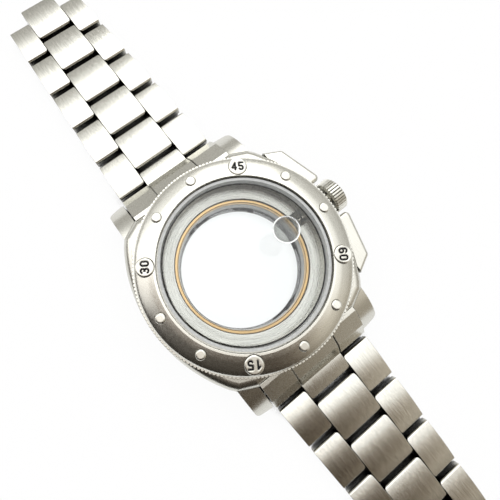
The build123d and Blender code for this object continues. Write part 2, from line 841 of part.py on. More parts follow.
# Bracelet rows
def row_width(full_width, taper, y):
    """Width of a row of links at a distance from the case's middle."""
    return full_width - taper * (y - first_row_y) / link_pitch


def row_outline(start_y, end_y, half_start, half_end, inner_start, inner_end):
    """Tapering plan outline of a link, or of one side link when it has inner edges."""
    if inner_start is None:
        Polygon(
            (-half_start, start_y), (half_start, start_y), (half_end, end_y), (-half_end, end_y), align=None
        )
    else:
        for side in (1, -1):
            Polygon(
                (side * inner_start, start_y),
                (side * half_start, start_y),
                (side * half_end, end_y),
                (side * inner_end, end_y),
                align=None,
            )


def link_profile(start_y, end_y):
    """Side view of a link on a plane across the bracelet: arched top, crisp upper edges, round lower ends."""
    low = link_end_r
    quarter = link_end_r * sqrt(2) / 2
    middle = (start_y + end_y) / 2
    shoulder_z = link_thickness - link_crown
    with BuildSketch(Plane.YZ.offset(-bracelet_width)) as side_view:
        with BuildLine():
            Line((start_y + low, 0), (end_y - low, 0))
            ThreePointArc((end_y - low, 0), (end_y - low + quarter, low - quarter), (end_y, low))
            Line((end_y, low), (end_y, shoulder_z))
            ThreePointArc((end_y, shoulder_z), (middle, link_thickness), (start_y, shoulder_z))
            Line((start_y, shoulder_z), (start_y, low))
            ThreePointArc((start_y, low), (start_y + low - quarter, low - quarter), (start_y + low, 0))
        make_face()
        fillet(side_view.vertices().group_by(Axis.Y)[-1], link_edge_r)
    return side_view.sketch


def link_solid(start_y, end_y, paired):
    """One centre link, or the pair of side links, with rounded plan corners and no holes yet."""
    if paired:
        half_start = row_width(bracelet_width, width_taper, start_y) / 2 - end_link_clearance
        half_end = row_width(bracelet_width, width_taper, end_y) / 2 - end_link_clearance
        inner_start = row_width(centre_width, centre_taper, start_y) / 2 + row_clearance
        inner_end = row_width(centre_width, centre_taper, end_y) / 2 + row_clearance
    else:
        half_start = row_width(centre_width, centre_taper, start_y) / 2
        half_end = row_width(centre_width, centre_taper, end_y) / 2
        inner_start = None
        inner_end = None
    with BuildPart() as made:
        with BuildSketch(Plane.XY.offset(-overrun)) as plan:
            row_outline(start_y, end_y, half_start, half_end, inner_start, inner_end)
            if paired:
                middle_x = (inner_start + half_end) / 2
                fillet(plan.vertices().filter_by(lambda corner: abs(corner.X) < middle_x), link_corner_r)
            else:
                fillet(plan.vertices(), link_corner_r)
        extrude(amount=link_thickness + 2 * overrun)
        extrude(link_profile(start_y, end_y), amount=2 * bracelet_width, mode=Mode.INTERSECT)
    return made.part


def drilled(solid, holes):
    """The solid with round pin holes along X, each given as radius and y."""
    with BuildPart() as made:
        add(solid)
        for radius, y in holes:
            add(cross_rod(radius, 2 * bracelet_width, y, hinge_z), mode=Mode.SUBTRACT)
    return made.part


def lip_point(angle):
    """Point of the end link's lip, which lies over the rounded edge of the middle case."""
    y, z = polar(end_link_lip_r, angle)
    return lip_centre_y + y, lip_centre_z + z


# The two end links, each with a tongue for the first hinge
tongue_end_y = first_hinge_y + link_end_r
segment_end_y = first_row_y - link_gap / 2
end_half = bracelet_width / 2 - end_link_clearance
with BuildPart() as end_link:
    with BuildSketch(Plane.YZ.offset(-end_half)):
        with BuildLine():
            Polyline(
                (case_end_y + fixed_clearance, 0),
                (segment_end_y - link_end_r, 0),
                (segment_end_y, link_end_r),
                (segment_end_y, end_link_drop_z - end_link_fillet),
                (end_link_drop_y, end_link_drop_z),
                (end_link_edge_y, end_link_edge_z),
                (end_link_root_y, end_link_root_z),
                lip_point(end_link_lip_angle),
            )
            ThreePointArc(
                lip_point(end_link_lip_angle),
                lip_point((end_link_lip_angle + lip_low_angle) / 2),
                lip_point(lip_low_angle),
            )
            Line(lip_point(lip_low_angle), (case_end_y + fixed_clearance, 0))
        make_face()
    extrude(amount=2 * end_half)
    groove_x = row_width(centre_width, centre_taper, first_row_y) / 2
    for side in (1, -1):
        with BuildSketch(Plane.YZ.offset(side * groove_x - end_link_groove_width / 2)):
            with BuildLine():
                Polyline(
                    (lip_centre_y, end_link_root_z - end_link_groove_depth),
                    (end_link_root_y, end_link_root_z - end_link_groove_depth),
                    (end_link_edge_y - end_link_groove_depth, end_link_edge_z - end_link_groove_depth),
                    (end_link_drop_y - end_link_groove_depth, end_link_drop_z - end_link_groove_depth),
                    (end_link_drop_y - end_link_groove_depth, -overrun),
                    (segment_end_y + overrun, -overrun),
                    (segment_end_y + overrun, case_height),
                    (lip_centre_y, case_height),
                    close=True,
                )
            make_face()
        extrude(amount=end_link_groove_width, mode=Mode.SUBTRACT)
    add(link_solid(segment_end_y - 2 * link_end_r, tongue_end_y, False))
    bar_bore = cross_rod(spring_bar_r + free_clearance, 2 * bracelet_width, spring_bar_y, spring_bar_z)
    add(bar_bore, mode=Mode.SUBTRACT)
    add(cross_rod(running_bore, 2 * bracelet_width, first_hinge_y, hinge_z), mode=Mode.SUBTRACT)
save(end_link.part, "end_link_upper")
save(mirror(end_link.part, about=Plane.XZ), "end_link_lower")

bar_half = lug_inner_x - fixed_clearance
with BuildPart() as spring_bars:
    for side in (1, -1):
        add(cross_rod(spring_bar_r, 2 * (bar_half - spring_bar_shoulder), side * spring_bar_y, spring_bar_z))
        tip_span = 2 * (bar_half + spring_bar_tip_length)
        add(cross_rod(spring_bar_tip_r, tip_span, side * spring_bar_y, spring_bar_z))
save(spring_bars.part, "spring_bars")


def link_unit(number):
    """Side pair, centre link and pins of one unit of the upper arm, counted from the case."""
    hinge_y = first_hinge_y + number * link_pitch
    side_start = hinge_y - link_end_r
    side_end = side_start + link_pitch - link_gap
    centre_start = hinge_y + link_end_r + link_gap
    centre_end = centre_start + link_pitch - link_gap
    fixed_y = (centre_start + side_end) / 2
    next_y = hinge_y + link_pitch
    sides = drilled(link_solid(side_start, side_end, True), [(tight_bore, hinge_y), (tight_bore, fixed_y)])
    centre = link_solid(centre_start, centre_end, False)
    centre = drilled(centre, [(tight_bore, fixed_y), (running_bore, next_y)])
    with BuildPart() as pins:
        for y in (hinge_y, fixed_y):
            span = row_width(bracelet_width, width_taper, y) - 2 * end_link_clearance - 2 * pin_recess
            add(cross_rod(pin_r, span, y, hinge_z))
    return sides, centre, pins.part


for number in range(max(upper_link_count, lower_link_count)):
    sides, centre, pins = link_unit(number)
    pieces = (("sides", sides), ("centre", centre), ("pins", pins))
    for piece_name, solid in pieces:
        if number < upper_link_count:
            save(solid, "upper_link_%d_%s" % (number + 1, piece_name))
        if number < lower_link_count:
            save(mirror(solid, about=Plane.XZ), "lower_link_%d_%s" % (number + 1, piece_name))


# Clasp end piece: side arms round the last tongue, and a full-width end for the clasp's spring bar
last_hinge_y = first_hinge_y + lower_link_count * link_pitch
bar_y = last_hinge_y + clasp_end_length
end_piece_start = last_hinge_y - link_end_r
end_piece_end = bar_y + link_end_r
half_there = row_width(bracelet_width, width_taper, end_piece_start) / 2 - end_link_clearance
tongue_half = row_width(centre_width, centre_taper, last_hinge_y) / 2 + row_clearance
with BuildPart() as clasp_end:
    with BuildSketch(Plane.XY.offset(-overrun)):
        with Locations((0, (end_piece_start + end_piece_end) / 2)):
            Rectangle(2 * half_there, end_piece_end - end_piece_start)
        with Locations((0, last_hinge_y)):
            Rectangle(2 * tongue_half, 2 * (link_end_r + link_gap), mode=Mode.SUBTRACT)
    extrude(amount=link_thickness + 2 * overrun)
    extrude(link_profile(end_piece_start, end_piece_end), amount=2 * bracelet_width, mode=Mode.INTERSECT)
    add(cross_rod(tight_bore, 2 * bracelet_width, last_hinge_y, hinge_z), mode=Mode.SUBTRACT)
    bar_bore = cross_rod(clasp_bar_r + pin_running_clearance, 2 * bracelet_width, bar_y, hinge_z)
    add(bar_bore, mode=Mode.SUBTRACT)
save(mirror(clasp_end.part, about=Plane.XZ), "clasp_end_piece")

end_pin = cross_rod(pin_r, 2 * (half_there - pin_recess), -last_hinge_y, hinge_z)
save(end_pin, "clasp_end_pin")


# Clasp cover: plate with two side walls, holes for the spring bar and lugs for the outer hinge
cover_start = bar_y - clasp_lead
cover_end = bar_y + clasp_reach
inner_half = half_there + clasp_side_clearance
outer_half = inner_half + clasp_wall
bar_tip_r = clasp_bar_r - clasp_side_clearance
cover_end_z = clasp_height - clasp_fillet
plate_under_z = cover_end_z - clasp_plate
outer_hinge_y = cover_end - knuckle_r - free_clearance
inner_hinge_y = bar_y + inner_hinge_setback
with BuildPart() as cover:
    with BuildSketch(Plane.YZ.offset(-outer_half)):
        with BuildLine():
            middle_y = (cover_start + cover_end) / 2
            Polyline(
                (cover_start, cover_end_z),
                (cover_start, clasp_wall_bottom_z),
                (cover_end, clasp_wall_bottom_z),
                (cover_end, cover_end_z),
            )
            ThreePointArc((cover_end, cover_end_z), (middle_y, clasp_height), (cover_start, cover_end_z))
        make_face()
    extrude(amount=2 * outer_half)
    fillet(cover.edges().filter_by(lambda edge: edge.center().Z > cover_end_z), clasp_fillet)
    with BuildSketch(Plane.XY.offset(clasp_wall_bottom_z)):
        with Locations((0, (cover_start + cover_end) / 2)):
            Rectangle(2 * inner_half, 2 * (cover_end - cover_start))
    extrude(amount=plate_under_z - clasp_wall_bottom_z, mode=Mode.SUBTRACT)
    for hole in range(clasp_hole_count):
        hole_y = bar_y + hole * clasp_hole_pitch
        add(cross_rod(bar_tip_r, 2 * bracelet_width, hole_y, hinge_z), mode=Mode.SUBTRACT)
    lug_span = knuckle_width / 2 + turning_clearance
    for side in (1, -1):
        with BuildSketch(Plane.YZ.offset(side * lug_span)):
            with Locations((outer_hinge_y, outer_hinge_z)):
                Circle(knuckle_r)
            with Locations((outer_hinge_y, outer_hinge_z)):
                lug_rise = plate_under_z + clasp_plate / 2 - outer_hinge_z
                Rectangle(2 * knuckle_r, lug_rise, align=(Align.CENTER, Align.MIN))
        extrude(amount=side * knuckle_width / 2)
    lug_reach = 2 * (lug_span + knuckle_width)
    pin_hole = cross_rod(blade_pin_r + fixed_clearance, lug_reach, outer_hinge_y, outer_hinge_z)
    add(pin_hole, mode=Mode.SUBTRACT)
save(mirror(cover.part, about=Plane.XZ), "clasp_cover")

with BuildPart() as clasp_bar:
    add(cross_rod(clasp_bar_r, 2 * (inner_half - free_clearance), -bar_y, hinge_z))
    add(cross_rod(bar_tip_r - fixed_clearance, 2 * outer_half, -bar_y, hinge_z))
save(clasp_bar.part, "clasp_spring_bar")


def strap(start_y, end_y, half_width, low_z):
    """A flat strap of blade thickness, between two stations along the bracelet."""
    with BuildPart() as made:
        with BuildSketch(Plane.XY.offset(low_z)):
            with Locations((0, (start_y + end_y) / 2)):
                Rectangle(2 * half_width, end_y - start_y)
        extrude(amount=blade_thickness)
    return made.part


# Inner blades: the long one hinges to the cover, the short one to the long one and to the other arm
fork_inner = knuckle_width / 2 + turning_clearance
blade_half = blade_width / 2
round_room = knuckle_r + blade_gap
long_blade_z = inner_hinge_z + knuckle_r - blade_thickness - turning_clearance
with BuildPart() as long_blade:
    add(cross_rod(knuckle_r, knuckle_width, inner_hinge_y, inner_hinge_z))
    add(cross_rod(knuckle_r, knuckle_width, outer_hinge_y, outer_hinge_z))
    add(strap(inner_hinge_y, outer_hinge_y, knuckle_width / 2, long_blade_z))
    add(strap(inner_hinge_y + round_room, outer_hinge_y - round_room, blade_half, long_blade_z))
    pin_bore = blade_pin_r + pin_running_clearance
    add(cross_rod(pin_bore, 2 * knuckle_width, inner_hinge_y, inner_hinge_z), mode=Mode.SUBTRACT)
    add(cross_rod(pin_bore, 2 * knuckle_width, outer_hinge_y, outer_hinge_z), mode=Mode.SUBTRACT)
    window_length = (outer_hinge_y - inner_hinge_y) * blade_window_share
    with BuildSketch(Plane.XY):
        with Locations((0, (inner_hinge_y + outer_hinge_y) / 2)):
            SlotOverall(window_length, blade_half, rotation=90)
    extrude(amount=clasp_height, mode=Mode.SUBTRACT)
save(mirror(long_blade.part, about=Plane.XZ), "clasp_blade_long")

free_end_y = outer_hinge_y + free_end_reach
with BuildPart() as short_blade:
    add(cross_rod(knuckle_r, blade_width, inner_hinge_y, inner_hinge_z))
    add(strap(inner_hinge_y, free_end_y, blade_half, 0))
    with BuildSketch(Plane.XY.offset(-overrun)):
        with Locations((0, inner_hinge_y)):
            Rectangle(2 * fork_inner, 2 * round_room)
    extrude(amount=clasp_height, mode=Mode.SUBTRACT)
    add(cross_rod(free_end_r, free_end_width, free_end_y, free_end_r))
    add(cross_rod(free_bore_r, 2 * free_end_width, free_end_y, free_end_r), mode=Mode.SUBTRACT)
    fork_bore = blade_pin_r + fixed_clearance
    add(cross_rod(fork_bore, 2 * blade_width, inner_hinge_y, inner_hinge_z), mode=Mode.SUBTRACT)
save(mirror(short_blade.part, about=Plane.XZ), "clasp_blade_short")

outer_pin_half = fork_inner + knuckle_width / 2 - pin_recess
inner_pin_half = blade_half - pin_recess
save(cross_rod(blade_pin_r, 2 * outer_pin_half, -outer_hinge_y, outer_hinge_z), "clasp_outer_pin")
save(cross_rod(blade_pin_r, 2 * inner_pin_half, -inner_hinge_y, inner_hinge_z), "clasp_inner_pin")
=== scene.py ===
import math

import bpy
from bpy.props import FloatProperty, FloatVectorProperty, PointerProperty
from mathutils import Euler, Matrix, Vector


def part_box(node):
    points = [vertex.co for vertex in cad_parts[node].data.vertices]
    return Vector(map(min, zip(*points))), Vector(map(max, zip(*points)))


bl_info = {
    "name": "Watch case finisher",
    "version": (1, 0, 0),
    "blender": (4, 5, 0),
    "location": "3D View > Sidebar > Watch case",
    "description": "Finishes an empty steel watch case and its bracelet, and sets them on a pale table",
    "category": "Object",
}

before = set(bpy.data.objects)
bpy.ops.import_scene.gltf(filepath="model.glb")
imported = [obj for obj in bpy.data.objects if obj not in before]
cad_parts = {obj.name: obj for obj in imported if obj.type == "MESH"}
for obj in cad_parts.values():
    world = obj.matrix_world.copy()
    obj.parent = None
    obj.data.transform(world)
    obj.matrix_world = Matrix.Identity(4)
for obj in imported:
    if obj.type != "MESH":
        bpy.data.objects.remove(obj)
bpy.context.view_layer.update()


# Sizes and colours that a user would change


class SteelFinish(bpy.types.PropertyGroup):
    steel_color: FloatVectorProperty(
        name="Steel", description="Colour of the satin steel", subtype="COLOR", size=3, min=0, max=1,
        default=(0.72, 0.71, 0.65))
    bezel_lightness: FloatProperty(
        name="Bezel lightness", description="Colour of the bezel against the rest of the steel",
        default=1.13, min=0, max=1.3)
    satin_roughness: FloatProperty(
        name="Satin roughness", description="Roughness of the brushed faces", default=0.26, min=0, max=1)
    link_roughness: FloatProperty(
        name="Link roughness", description="Roughness of the brushed links", default=0.2, min=0, max=1)
    polish_roughness: FloatProperty(
        name="Polish roughness", description="Roughness of the polished studs", default=0.12, min=0, max=1)
    grain_width: FloatProperty(
        name="Grain width", description="Width of one brushing line", default=0.0001, min=0.00001,
        max=0.001, unit="LENGTH", precision=5)
    grain_length: FloatProperty(
        name="Grain length", description="Length of one brushing line", default=0.018, min=0.0001,
        max=0.1, unit="LENGTH", precision=5)
    edge_radius: FloatProperty(
        name="Edge radius", description="Softness of the edges that catch the light", default=0.00012,
        min=0, max=0.001, unit="LENGTH", precision=5)


class InsideFinish(bpy.types.PropertyGroup):
    ledge_color: FloatVectorProperty(
        name="Ledge", description="Colour of the turned ring inside", subtype="COLOR", size=3, min=0,
        max=1, default=(0.52, 0.525, 0.49))
    gilt_color: FloatVectorProperty(
        name="Gilt", description="Colour of the gilt seat ring", subtype="COLOR", size=3, min=0, max=1,
        default=(0.66, 0.45, 0.2))
    turning_pitch: FloatProperty(
        name="Turning pitch", description="Spacing of the turned lines on the ledge", default=0.0002,
        min=0.00001, max=0.001, unit="LENGTH", precision=5)


class GlassFinish(bpy.types.PropertyGroup):
    crystal_tint: FloatVectorProperty(
        name="Crystal", description="Tint of the front crystal", subtype="COLOR", size=3, min=0, max=1,
        default=(0.994, 0.998, 0.997))
    back_tint: FloatVectorProperty(
        name="Back window", description="Tint of the back window", subtype="COLOR", size=3, min=0, max=1,
        default=(0.985, 0.996, 0.996))


class StudioStage(bpy.types.PropertyGroup):
    floor_size: FloatProperty(
        name="Table size", description="Width of the pale table", default=3.0, min=0.5, max=20,
        unit="LENGTH")
    floor_color: FloatVectorProperty(
        name="Table", description="Colour of the table", subtype="COLOR", size=3, min=0, max=1,
        default=(0.93, 0.93, 0.93))
    key_power: FloatProperty(
        name="Key power", description="Power of the large soft light", default=1.2, min=0, max=500,
        unit="POWER")
    lens: FloatProperty(
        name="Lens", description="Focal length of the camera in millimetres", default=27.0, min=5, max=300)


# Units, in metres, and plain colours

MM = 0.001
MICRON = 0.001 * MM
WHITE = (1.0, 1.0, 1.0)
BLACK = (0.0, 0.0, 0.0)

# Looks that all metals share: strokes about three times as broad as the grain's lines, patches darkened by
# handling, small marks in the roughness, and painted shade in the recesses

STROKE_SCALE = (0.35, 0.35, 0.35)
STROKE_WEIGHT = 0.35
HANDLING_SCALE = 260.0
HANDLING_WEIGHT = 0.12
HANDLING_TONE = 0.72
MARK_SCALE = 9 * HANDLING_SCALE
MARK_ROUGHNESS = (-0.015, 0.03)
GRAIN_SWING = 0.2
RECESS_SHADE_COLOR = (0.016, 0.015, 0.014, 1)
OPENNESS_RAYS = 8
EDGE_RAYS = 6

# Looks of the glass: its mirror sheen from face on to a slant, and the grey magnifier with painted shade
# towards its side and a painted reflection in its bright rim

FACE_SHEEN = 0.03
SLANT_SHEEN = 0.6
SLANT_POWER = 4.0
CLEAN_ROUGHNESS = 0.02
MAGNIFIER_MIDDLE = (0.62, 0.63, 0.61, 1)
MAGNIFIER_SHADED_SIDE = (0.5, 0.51, 0.49, 1)
MAGNIFIER_SHEEN = 0.06
MAGNIFIER_RIM_SHEEN = 0.75

# Looks of rubber and lacquer

GRIT_DEPTH = 10 * MICRON
GRIT_RELIEF = 0.6
GRIT_SHADE = 0.3
GRIT_SWING = 0.15

# The table: its faint grit, the painted shadow where a piece rests on it, and the share of white where it is
# bare

TABLE_GRIT = 900.0
TABLE_GRIT_TONE = 0.99
CONTACT_REACH = 6 * MM
CONTACT_SHADOW_COLOR = (0.04, 0.037, 0.034, 1)
BARE_SHARE = 0.94

# The room that the metal reflects: where each part lies, as turn and tilt in degrees, and its light by the
# cosine of the angle to it

DIM_SIDE = (-152, 20), (
    (0.3, WHITE), (0.43, (0.6, 0.57, 0.54)), (0.52, (0.23, 0.197, 0.174)), (0.64, (0.1, 0.082, 0.069)),
    (0.8, (0.062, 0.056, 0.051)), (1.0, (0.056, 0.051, 0.047)),
)
LOW_SIDE = (-100, 0), ((0.2, WHITE), (0.55, (0.92, 0.86, 0.77)), (1.0, (0.85, 0.77, 0.66)))
HIGH_SHADE = (-88, 61), ((0.93, WHITE), (0.965, (0.5, 0.46, 0.41)), (0.985, (0.25, 0.22, 0.19)))
WINDOW = (118, 72), ((0.86, (0.72, 0.72, 0.72)), (0.95, WHITE))
PANE = (140, 52), ((0.84, BLACK), (0.92, WHITE))

# The room's light by height, from the table's level to overhead, and its strength to each kind of ray

LIGHT_BY_HEIGHT = (
    (0.0, (0.34, 0.33, 0.31)), (0.4, (0.34, 0.335, 0.32)), (0.6, (0.44, 0.435, 0.42)),
    (0.74, (0.75, 0.75, 0.74)), (0.86, (0.97, 0.97, 0.96)), (0.92, WHITE),
)
MIRRORED_STRENGTH = 2.1
PLAIN_STRENGTH = 0.8

# The photograph's camera: its place in metres, its turn in degrees and its framing

CAMERA_PLACE = (-0.01127, -0.00285, 0.08259)
CAMERA_TURN = (11.074, -2.711, -37.823)
CAMERA_SHIFT = (0.05, -0.026)
CAMERA_RANGE = (0.005, 20.0)
SENSOR_WIDTH = 36.0


# Node building


class Tree:
    """The nodes of a material or world, added one by one and wired as they come."""

    def __init__(self, name, family="materials", output="ShaderNodeOutputMaterial"):
        self.owner = getattr(bpy.data, family).new(name)
        self.owner.use_nodes = True
        self.nodes = self.owner.node_tree.nodes
        self.links = self.owner.node_tree.links
        self.nodes.clear()
        self.out = self.nodes.new(output)

    def add(self, kind, settings=None, **sockets):
        """A node with its settings, and its sockets by name with underscores for spaces."""
        node = self.nodes.new(kind)
        for key, value in (settings or {}).items():
            setattr(node, key, value)
        for key, value in sockets.items():
            self.plug(node.inputs[key.replace("_", " ")], value)
        return node

    def plug(self, socket, value):
        """Wires a socket to another, or gives it a value."""
        if isinstance(value, bpy.types.NodeSocket):
            self.links.new(value, socket)
        else:
            socket.default_value = value

    def math(self, operation, a, b=0.0):
        node = self.nodes.new("ShaderNodeMath")
        node.operation = operation
        self.plug(node.inputs[0], a)
        self.plug(node.inputs[1], b)
        return node.outputs[0]

    def vector(self, operation, a, b=(0, 0, 0)):
        node = self.nodes.new("ShaderNodeVectorMath")
        node.operation = operation
        self.plug(node.inputs[0], a)
        self.plug(node.inputs[1], b)
        return node.outputs["Value" if operation in ("LENGTH", "DOT_PRODUCT") else "Vector"]

    def noise(self, vector, scale=1.0, detail=2.0, roughness=0.5):
        node = self.add(
            "ShaderNodeTexNoise", Vector=vector, Scale=scale, Detail=detail, Roughness=roughness)
        return node.outputs["Fac"]

    def spread(self, value, low, high, start=0.3, end=0.7):
        """The value carried from the range start..end to low..high."""
        node = self.nodes.new("ShaderNodeMapRange")
        self.plug(node.inputs["Value"], value)
        node.inputs["From Min"].default_value = start
        node.inputs["From Max"].default_value = end
        node.inputs["To Min"].default_value = low
        node.inputs["To Max"].default_value = high
        return node.outputs["Result"]

    def blend(self, fac, a, b, mode="MIX"):
        """Two colours mixed. A colour mix has its colours on sockets 6 and 7, and its result on socket 2."""
        node = self.nodes.new("ShaderNodeMix")
        node.data_type = "RGBA"
        node.blend_type = mode
        self.plug(node.inputs[0], fac)
        self.plug(node.inputs[6], a)
        self.plug(node.inputs[7], b)
        return node.outputs[2]

    def ramp(self, value, stops):
        """Colour ramp through the given stops, each a position and a colour."""
        node = self.nodes.new("ShaderNodeValToRGB")
        self.plug(node.inputs["Fac"], value)
        points = node.color_ramp.elements
        points[0].position, points[0].color = stops[0][0], (*stops[0][1], 1)
        points[1].position, points[1].color = stops[-1][0], (*stops[-1][1], 1)
        for position, color in stops[1:-1]:
            points.new(position).color = (*color, 1)
        return node.outputs["Color"]

    def mix(self, fac, first, second):
        node = self.add("ShaderNodeMixShader", Fac=fac)
        self.plug(node.inputs[1], first)
        self.plug(node.inputs[2], second)
        return node.outputs[0]

    def place(self):
        """The place of a point on its own piece, in metres."""
        return self.nodes.new("ShaderNodeTexCoord").outputs["Object"]

    def openness(self, reach):
        """How free a point is of faces within reach, from 0 to 1."""
        node = self.add("ShaderNodeAmbientOcclusion", {"samples": OPENNESS_RAYS}, Distance=reach)
        return node.outputs["AO"]

    def straight(self, width, length):
        """Coordinates drawn out along Y, so that noise on them reads as brushing."""
        scale = (1 / width, 1 / length, 1 / width)
        return self.add("ShaderNodeMapping", Vector=self.place(), Scale=scale).outputs["Vector"]

    def turned(self, width, sweep, axis="Z", centre=(0, 0, 0)):
        """Coordinates drawn out round an axis, so that noise on them reads as turning or round brushing."""
        moved = self.vector("SUBTRACT", self.place(), centre)
        parts = self.add("ShaderNodeSeparateXYZ", Vector=moved).outputs
        across, up = {"Z": (parts[0], parts[1]), "X": (parts[1], parts[2])}[axis]
        flat = {"Z": (1, 1, 0), "X": (0, 1, 1)}[axis]
        radius = self.vector("LENGTH", self.vector("MULTIPLY", moved, flat))
        angle = self.math("ARCTAN2", up, across)
        depth = parts["XYZ".index(axis)]
        joined = self.nodes.new("ShaderNodeCombineXYZ")
        self.plug(joined.inputs[0], self.math("MULTIPLY", radius, 1 / width))
        self.plug(joined.inputs[1], self.math("MULTIPLY", angle, sweep))
        self.plug(joined.inputs[2], self.math("MULTIPLY", depth, 1 / width))
        return joined.outputs[0]

    def finish(self, shader):
        """The finished material or world, with the given shader on its surface."""
        self.links.new(shader, self.out.inputs["Surface"])
        return self.owner


# Materials


def toned(color, share):
    """A share of a colour, at most full, as a socket takes it."""
    return [min(1.0, c * share) for c in color] + [1]


def metal(tree, color, grain, roughness, depth, shade=0.08, edge=0.0, recess=0.9 * MM, wall=1.0,
          soil=(0.12, 0.55)):
    """Metal with a fine grain in its colour, roughness and relief, handling marks and painted shade in
    recesses.

    The grain is depth deep, and its lines differ from the colour by the share shade. Edges catch the light
    over the radius edge. Painted shade darkens upright faces to a share of the colour, and darkens the
    colour where faces stand within recess of each other, from full to none over the given range of openness.
    """
    fine = tree.noise(grain, detail=3.0, roughness=0.6)
    stroke = tree.noise(tree.vector("MULTIPLY", grain, STROKE_SCALE))
    handling = tree.noise(tree.place(), HANDLING_SCALE)
    marks = tree.noise(tree.place(), MARK_SCALE, detail=4.0, roughness=0.65)
    tone = tree.blend(
        tree.spread(fine, 0.0, 1.0, start=0.25, end=0.75), toned(color, 1 - shade), toned(color, 1 + shade))
    tone = tree.blend(
        tree.spread(stroke, 0.0, STROKE_WEIGHT, start=0.35, end=0.7), tone, toned(color, 1 - 2 * shade))
    tone = tree.blend(tree.spread(handling, 0.0, HANDLING_WEIGHT), tone, toned(color, HANDLING_TONE))
    rough = tree.spread(fine, roughness * (1 - GRAIN_SWING), roughness * (1 + GRAIN_SWING))
    rough = tree.math("ADD", rough, tree.spread(marks, *MARK_ROUGHNESS))
    facing = tree.nodes.new("ShaderNodeTexCoord").outputs["Normal"]
    facing_up = tree.add("ShaderNodeSeparateXYZ", Vector=facing).outputs["Z"]
    # Painted shade: upright faces are darkened to a share of the colour
    if wall < 1:
        upright = tree.spread(tree.math("ABSOLUTE", facing_up), 1.0, 0.0, start=0.1, end=0.4)
        tone = tree.blend(upright, tone, toned(color, wall))
    # Painted shade: the colour goes dark where other faces stand within recess, but not on faces turned down
    if recess > 0:
        underside = tree.spread(facing_up, 1.0, 0.0, start=-0.9, end=-0.5)
        clear = tree.math("MAXIMUM", tree.openness(recess), underside)
        tone = tree.blend(tree.spread(clear, 1.0, 0.0, *soil), tone, RECESS_SHADE_COLOR)
    bump = tree.add("ShaderNodeBump", Strength=1.0, Distance=depth, Height=fine)
    if edge > 0:
        rounded = tree.add("ShaderNodeBevel", {"samples": EDGE_RAYS}, Radius=edge)
        tree.plug(bump.inputs["Normal"], rounded.outputs["Normal"])
    shader = tree.add(
        "ShaderNodeBsdfPrincipled", Base_Color=tone, Roughness=rough, Normal=bump.outputs["Normal"],
        Metallic=1.0)
    return tree.finish(shader.outputs[0])


def brushed_metal(name, color, width, length, roughness, **looks):
    """Metal with straight lines of the given width and length."""
    tree = Tree(name)
    return metal(tree, color, tree.straight(width, length), roughness, **looks)


def turned_metal(name, color, width, sweep, roughness, axis="Z", centre=(0, 0, 0), **looks):
    """Metal with lines of the given width round an axis, broken up the more often the larger sweep is."""
    tree = Tree(name)
    return metal(tree, color, tree.turned(width, sweep, axis, centre), roughness, **looks)


def gloss(tree, scale, detail, roughest):
    """A mirror with faint smears in its roughness."""
    smear = tree.noise(tree.place(), scale, detail)
    rough = tree.spread(smear, CLEAN_ROUGHNESS, roughest)
    return tree.add("ShaderNodeBsdfAnisotropic", Color=(*WHITE, 1), Roughness=rough).outputs[0]


def thin_glass(name, tint):
    """Clear glass that lets the light of the studio through, with a mirror sheen that grows at a slant."""
    tree = Tree(name)
    clear = tree.add("ShaderNodeBsdfTransparent", Color=(*tint, 1)).outputs[0]
    slant = tree.add("ShaderNodeLayerWeight", Blend=0.5).outputs["Facing"]
    sheen = tree.math("MULTIPLY", tree.math("POWER", slant, SLANT_POWER), SLANT_SHEEN)
    sheen = tree.math("ADD", sheen, FACE_SHEEN)
    return tree.finish(tree.mix(sheen, clear, gloss(tree, scale=180.0, detail=3.0, roughest=0.07)))


def magnifier_glass(name, centre, radius):
    """Grey glass with painted shade darkening it towards its side, and a painted reflection in its bright
    rim.
    """
    tree = Tree(name)
    offset = tree.vector("MULTIPLY", tree.vector("SUBTRACT", tree.place(), centre), (1, 1, 0))
    reach = tree.math("DIVIDE", tree.vector("LENGTH", offset), radius)
    # Painted shade: the tint darkens towards the side
    side = tree.spread(reach, 0.0, 1.0, start=0.55, end=0.9)
    tint = tree.blend(side, MAGNIFIER_MIDDLE, MAGNIFIER_SHADED_SIDE)
    clear = tree.add("ShaderNodeBsdfTransparent", Color=tint).outputs[0]
    # Painted reflection: the mirror sheen grows into a bright rim by distance from the centre
    sheen = tree.spread(reach, MAGNIFIER_SHEEN, MAGNIFIER_RIM_SHEEN, start=0.88, end=0.95)
    return tree.finish(tree.mix(sheen, clear, gloss(tree, scale=300.0, detail=2.0, roughest=0.05)))


def dull(name, color, roughness, grit, sheen=0.4):
    """Moulded rubber or lacquer: a fine grit in its colour, roughness and relief."""
    tree = Tree(name)
    grain = tree.noise(tree.place(), grit, detail=3.0)
    tone = tree.blend(grain, toned(color, 1 - GRIT_SHADE), toned(color, 1 + GRIT_SHADE))
    rough = tree.spread(grain, roughness * (1 - GRIT_SWING), roughness * (1 + GRIT_SWING))
    bump = tree.add("ShaderNodeBump", Strength=GRIT_RELIEF, Distance=GRIT_DEPTH, Height=grain)
    shader = tree.add(
        "ShaderNodeBsdfPrincipled", Base_Color=tone, Roughness=rough, Normal=bump.outputs["Normal"],
        Specular_IOR_Level=sheen)
    return tree.finish(shader.outputs[0])


def dress(material, *names):
    """Gives CAD nodes their finish."""
    for name in names:
        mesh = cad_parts[name].data
        mesh.materials.clear()
        mesh.materials.append(material)


def nodes_like(*ends):
    """The names of the CAD nodes with one of the given ends."""
    return [name for name in sorted(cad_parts) if name.endswith(ends)]


# Operators, one for each group of pieces


